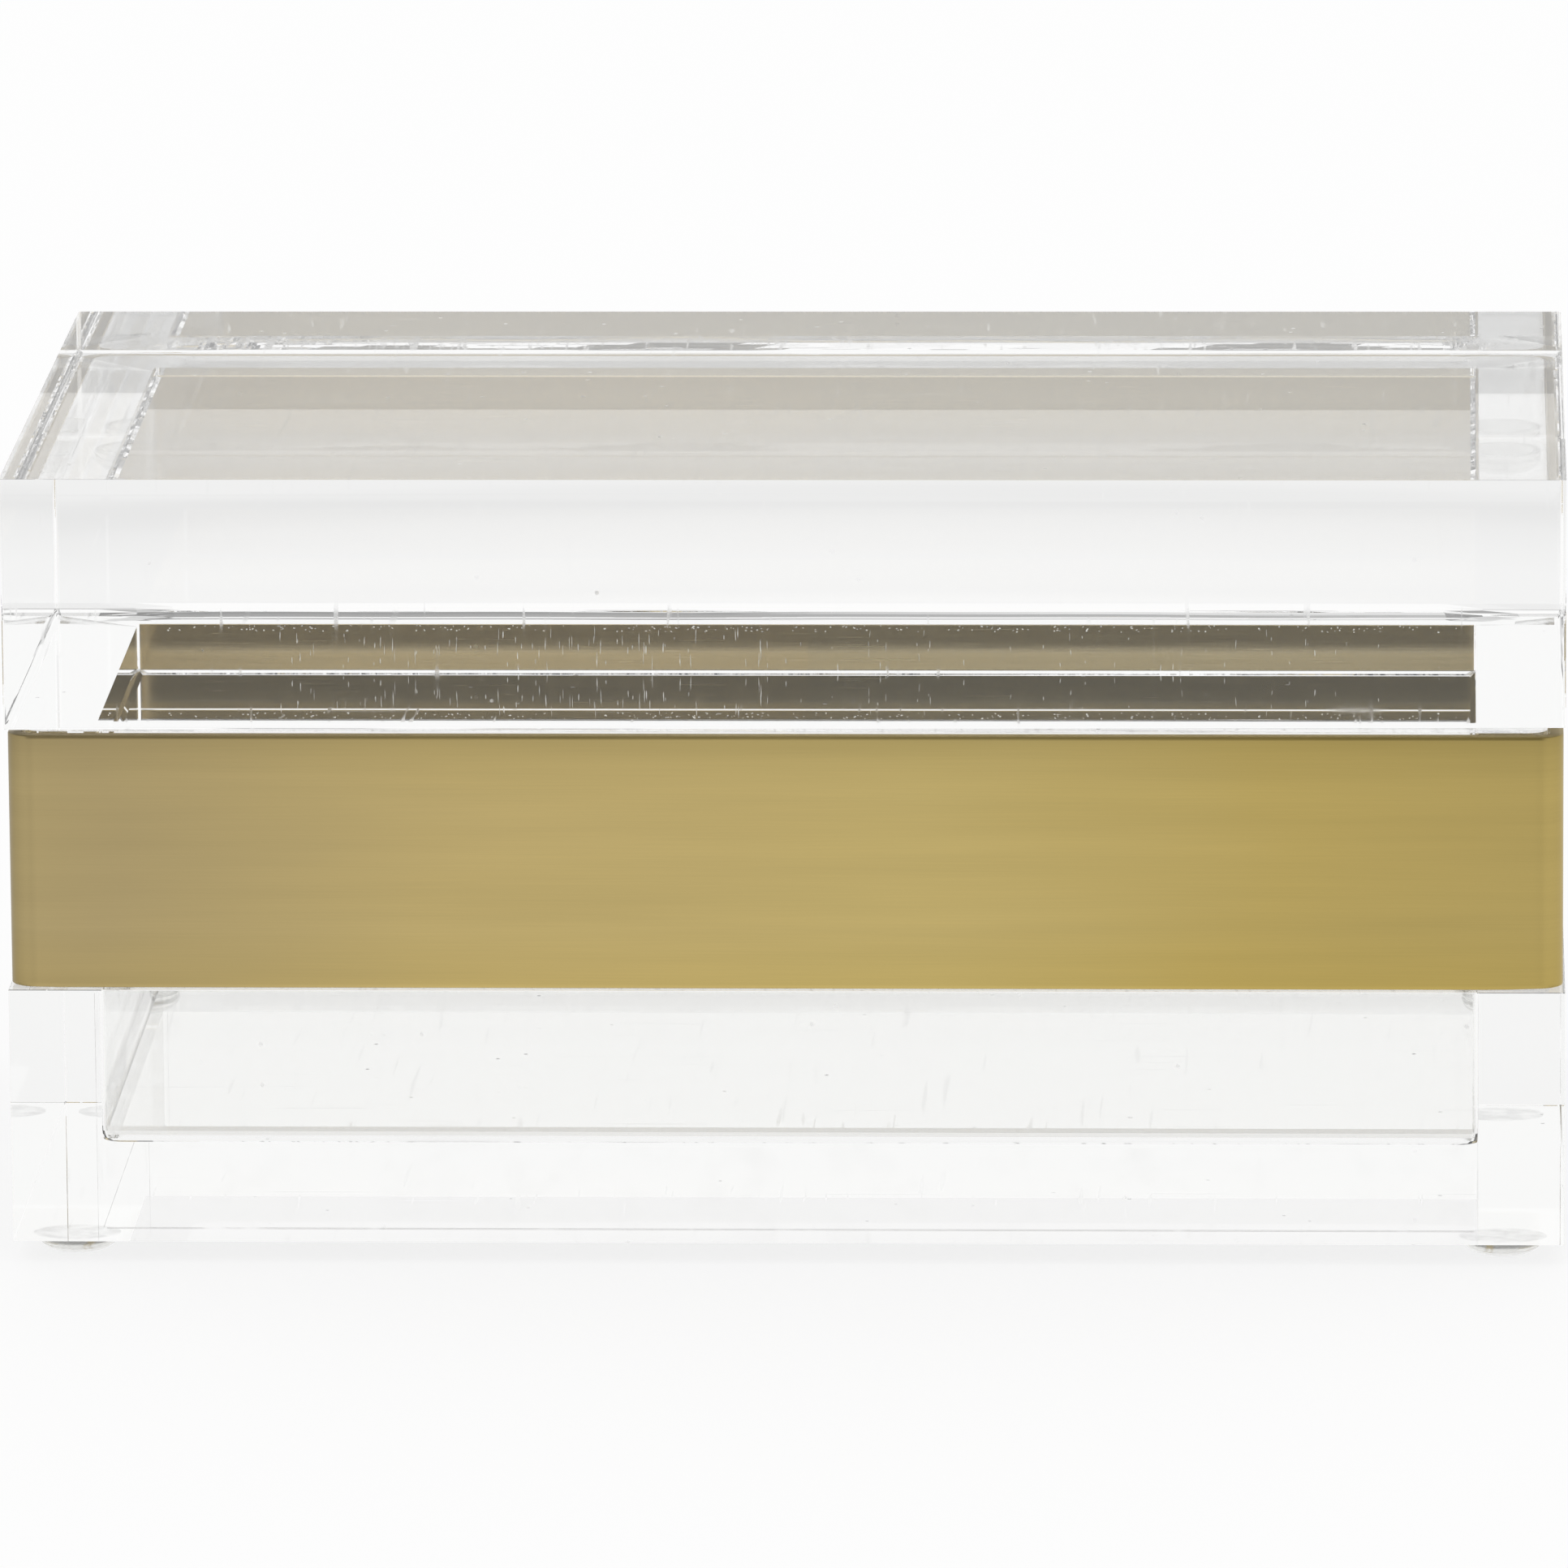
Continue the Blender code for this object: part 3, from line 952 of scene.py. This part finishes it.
def disc_material():
    """Pale adhesive with a few trapped bubbles."""
    material, tree, shader = new_material("bumper_adhesive")
    bubbles = noise(tree, object_place(tree), 2.0, BUBBLE_SCALE)
    tone = rescale(tree, bubbles, 0.75, 0.95)
    parts = {0: tone, 1: tone, 2: math_node(tree, "MULTIPLY", tone, 0.97)}
    set_inputs(tree, shader, {
        "Alpha": rescale(tree, bubbles, 0.01, 0.06, 0.35, 0.65),
        "Base Color": add_node(tree, "ShaderNodeCombineColor", parts).outputs[0],
        "Roughness": 0.5,
    })
    return material


def disc_ring(middle_x, middle_y, radius, z):
    turns = [2 * math.pi * i / DISC_SIDES for i in range(DISC_SIDES)]
    return at([(middle_x + radius * math.cos(a), middle_y + radius * math.sin(a)) for a in turns], z)


bm = bmesh.new()
for side in (-1, 1):
    for end in (-1, 1):
        loft(bm, [disc_ring(side * foot_x, end * foot_y, r * MM, BOTTOM + z * MM) for r, z in DISC_SECTION])
discs = finish_mesh("adhesive_discs", bm, disc_material())
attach(discs, "base")

# %% [markdown]
# ## Scratches and dust on the plug
# The plug rubs against the back wall each time the lid goes on. Its back face carries short upright scratches
# and a line of dust along the top. They catch some light, and glow a little with painted light, against the
# dark reflection of the brass. They follow a rule, so Geometry Nodes scatter them: random places in a thin
# slab, random sizes, small random tilts.

# %% Scatter in Geometry Nodes
FLECK_GLOW = 0.30
FLECK_SCALE = 900.0
# Added to the seed, so that tilts and sizes are drawn apart from places.
TILT_DRAW, SIZE_DRAW = 11, 23


def fleck_material(name, level, alpha):
    """The gap is too tight for a fleck to be lit well, so part of its light is painted: it glows a little."""
    material, tree, shader = new_material(name)
    patches = noise(tree, object_place(tree), 2.0, FLECK_SCALE)
    set_inputs(tree, shader, {
        "Alpha": rescale(tree, patches, alpha * 0.3, alpha, 0.3, 0.7),
        "Base Color": (level, level, level * 0.97, 1.0),
        "Roughness": 0.7,
        "Emission Color": (1.0, 0.98, 0.94, 1.0),
        "Emission Strength": FLECK_GLOW,
    })
    return material


def scatter_tree(name, values, material):
    """Instances of a small grain at random places between two corners, with random sizes and tilts."""
    tree, sockets, given = new_tree(name, values)

    def chance(low, high, shift):
        """A random vector between low and high for each point."""
        seed = math_node(tree, "ADD", given["Seed"], float(shift))
        made = add_node(tree, "FunctionNodeRandomValue", {"Seed": seed}, data_type="FLOAT_VECTOR")
        set_inputs(tree, made, {0: low, 1: high})
        return made.outputs[0]

    places = chance(given["Low"], given["High"], 0)
    points = add_node(tree, "GeometryNodePoints", {"Count": given["Count"], "Position": places})
    most = add_node(tree, "ShaderNodeCombineXYZ", {0: 0.0, 1: given["Tilt"], 2: 0.0}).outputs[0]
    least = add_node(tree, "ShaderNodeVectorMath", {0: most, "Scale": -1.0}, operation="SCALE").outputs[0]
    grain = add_node(tree, "GeometryNodeMeshIcoSphere", {"Radius": 0.5, "Subdivisions": 1})
    placed = add_node(tree, "GeometryNodeInstanceOnPoints", {
        "Points": points.outputs[0],
        "Instance": grain.outputs[0],
        "Rotation": chance(least, most, TILT_DRAW),
        "Scale": chance(given["Small"], given["Large"], SIZE_DRAW),
    })
    end_tree(tree, placed.outputs[0], material)
    return tree, sockets


def scatter(name, material, count, seed, tilt, **corners):
    """low and high are the corners of the slab, small and large the grain's sizes, all in mm."""
    values = {"Count": count, "Seed": seed, "Tilt": math.radians(tilt)}
    for label, triple in corners.items():
        values[label.capitalize()] = [v * MM for v in triple]
    tree, sockets = scatter_tree(name + "_rule", values, material)
    piece = plain_mesh_from(tree, sockets, values, name)
    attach(piece, "lid")


# %% Scratches and dust
back = plug_high.y / MM
top = WALL_TOP / MM
scratch = fleck_material("scratches_with_painted_glow", 0.95, 0.75)
dust = fleck_material("dust", 0.97, 0.95)
scatter(
    "plug_scratches", scratch, count=90, seed=3, tilt=3,
    low=(-80, back + 0.13, top - 6.6), high=(-2, back + 0.16, top - 1.0),
    small=(0.07, 0.03, 0.5), large=(0.17, 0.05, 2.6),
)
scatter(
    "plug_scratches_right", scratch, count=44, seed=8, tilt=9,
    low=(-2, back + 0.13, top - 6.6), high=(98, back + 0.16, top - 0.8),
    small=(0.06, 0.03, 0.3), large=(0.15, 0.05, 1.6),
)
scatter(
    "plug_dust", dust, count=240, seed=5, tilt=40,
    low=(-99, back + 0.15, top - 0.9), high=(99, back + 0.30, top + 0.05),
    small=(0.12, 0.08, 0.06), large=(0.45, 0.16, 0.26),
)

# %% [markdown]
# ## Floor, light and camera
# The box stands on a pale floor in soft, even light, with white all round it for the camera. Acrylic and
# metal see that white up to a little above the box. Higher up the room is darker for them, and so is a narrow
# part of it in front, which gives the clear edges something to mirror. Lamps would do this with sharp
# highlights, but the real box has none. The floor is part glow and part paint, so it keeps the shadow.

# %% Floor
PAINT = 0.92
GLOW_SHARE = 0.84
# What acrylic and metal see of the floor, by metres from the middle of the box.
POOL = [
    (0.10, 0.95), (0.20, 0.965), (0.30, 0.985), (0.45, 0.99), (0.463, 0.98), (0.472, 0.95), (0.50, 0.948),
    (0.519, 0.924), (0.538, 0.893), (0.55, 0.855), (0.5595, 0.84), (0.567, 0.85), (0.575, 0.883), (1.0, 0.90),
]


def acrylic_or_metal_sees(tree, path):
    """1 for light that acrylic or metal sees, mirrored or passed on."""
    return math_node(tree, "ADD", path.outputs["Is Glossy Ray"], path.outputs["Is Transmission Ray"], clamp=True)


def mix_shader(tree, share, first, second):
    return add_node(tree, "ShaderNodeMixShader", {0: share, 1: first, 2: second}).outputs[0]


def floor_material():
    """White to the camera apart from the shadow. Acrylic and metal see its glow, which fades with distance."""
    material = bpy.data.materials.new("pale_floor")
    material.use_nodes = True
    tree = material.node_tree
    tree.nodes.clear()
    path = add_node(tree, "ShaderNodeLightPath")
    paint = add_node(tree, "ShaderNodeBsdfDiffuse", {"Color": (PAINT, PAINT, PAINT, 1.0)}).outputs[0]
    white = {"Color": (1, 1, 1, 1), "Strength": 1.0}
    to_camera = mix_shader(tree, GLOW_SHARE, paint, add_node(tree, "ShaderNodeEmission", white).outputs[0])
    apart = add_node(tree, "ShaderNodeVectorMath", {0: object_place(tree)}, operation="LENGTH").outputs["Value"]
    pool = {"Color": (1, 1, 1, 1), "Strength": tone_ramp(tree, apart, POOL)}
    to_acrylic = add_node(tree, "ShaderNodeEmission", pool).outputs[0]
    plain = mix_shader(tree, path.outputs["Is Camera Ray"], paint, to_camera)
    out = add_node(tree, "ShaderNodeOutputMaterial")
    tree.links.new(mix_shader(tree, acrylic_or_metal_sees(tree, path), plain, to_acrylic), out.inputs["Surface"])
    return material


bm = bmesh.new()
bmesh.ops.create_grid(bm, x_segments=1, y_segments=1, size=4.0)
studio_floor = finish_mesh("studio_floor", bm, floor_material())

# %% Soft light
# How bright the room is by height: 0 is straight down, 0.5 level and 1 straight up.
BEHIND = [
    (0.0, 0.9), (0.5, 1.0), (0.5975, 1.0), (0.6015, 0.90), (0.609, 0.76),
    (0.645, 0.60), (0.67, 0.28), (0.95, 0.28), (1.0, 0.5),
]
IN_FRONT = [(0.0, 0.9), (0.49, 0.4), (0.51, 0.05), (0.64, 0.06), (0.70, 1.0), (0.93, 1.0), (1.0, 0.5)]
# The dark part in front is where the level heading's y lies below these two.
DARK_WITHIN, DARK_BEYOND = -0.98, -0.90


def studio_world():
    """Even light for paint. Acrylic and metal see the white backdrop and the darker parts of the room."""
    world = bpy.data.worlds.new("studio")
    bpy.context.scene.world = world
    world.use_nodes = True
    tree = world.node_tree
    tree.nodes.clear()
    generated = add_node(tree, "ShaderNodeTexCoord").outputs["Generated"]
    way = add_node(tree, "ShaderNodeSeparateXYZ", {0: generated}).outputs
    height = math_node(tree, "ADD", math_node(tree, "DIVIDE", math_node(tree, "ARCSINE", way[2]), math.pi), 0.5)
    flat = add_node(tree, "ShaderNodeCombineXYZ", {0: way[0], 1: way[1]}).outputs[0]
    heading = add_node(tree, "ShaderNodeVectorMath", {0: flat}, operation="NORMALIZE").outputs[0]
    facing = add_node(tree, "ShaderNodeSeparateXYZ", {0: heading}).outputs[1]
    clear_of_dark = ramp(tree, facing, DARK_WITHIN, DARK_BEYOND)
    front, behind = tone_ramp(tree, height, IN_FRONT), tone_ramp(tree, height, BEHIND)
    room = mix_colour(tree, "MIX", clear_of_dark, front, behind)
    seen = acrylic_or_metal_sees(tree, add_node(tree, "ShaderNodeLightPath"))
    light = {"Color": mix_colour(tree, "MIX", seen, (1.0, 1.0, 1.0, 1.0), room), "Strength": 1.0}
    out = add_node(tree, "ShaderNodeOutputWorld")
    tree.links.new(add_node(tree, "ShaderNodeBackground", light).outputs[0], out.inputs["Surface"])
    print("world:", world.name, "nodes", len(tree.nodes))


studio_world()

# %% [markdown]
# ## Bounces
# Light enters a thick acrylic wall and is mirrored down its whole height before it leaves, so Cycles has to
# follow it for many more bounces than usual. With the usual four mirror bounces the walls turn grey.

# %% Light bounces
BOUNCES = 64
cycles = bpy.context.scene.cycles
cycles.max_bounces = BOUNCES
cycles.glossy_bounces = BOUNCES
cycles.transmission_bounces = BOUNCES
cycles.transparent_max_bounces = BOUNCES // 2
print("bounces:", cycles.max_bounces)

# %% [markdown]
# ## Camera
# The camera stands more than two metres in front, a little to the right and above, and looks through a long
# lens. Its place and turn were worked out from the box's edges, so they are written as numbers. A target to
# look at would be simpler, but it can't give the slight roll.

# %% Camera
LENS = 352.6477
CAMERA_PLACE = (97.998652, -2259.213495, 551.824405)
YAW, PITCH, ROLL = (math.radians(a) for a in (2.55637, -12.32154, -0.46388))

camera_data = bpy.data.cameras.new("camera")
camera_data.lens = LENS
camera_data.sensor_width = 36.0
camera_data.clip_end = 50.0
camera = bpy.data.objects.new("camera", camera_data)
bpy.context.scene.collection.objects.link(camera)

forward = Vector((-math.sin(YAW) * math.cos(PITCH), math.cos(YAW) * math.cos(PITCH), math.sin(PITCH)))
level_right = Vector((math.cos(YAW), math.sin(YAW), 0.0))
level_up = level_right.cross(forward)
right = level_right * math.cos(ROLL) + level_up * math.sin(ROLL)
up = -level_right * math.sin(ROLL) + level_up * math.cos(ROLL)
camera.rotation_mode = "QUATERNION"
camera.rotation_quaternion = Matrix((right, up, -forward)).transposed().to_quaternion()
camera.location = Vector(CAMERA_PLACE) * MM
bpy.context.scene.camera = camera
bpy.context.scene.view_settings.view_transform = "Standard"
print("camera at", [round(part, 3) for part in camera.location])
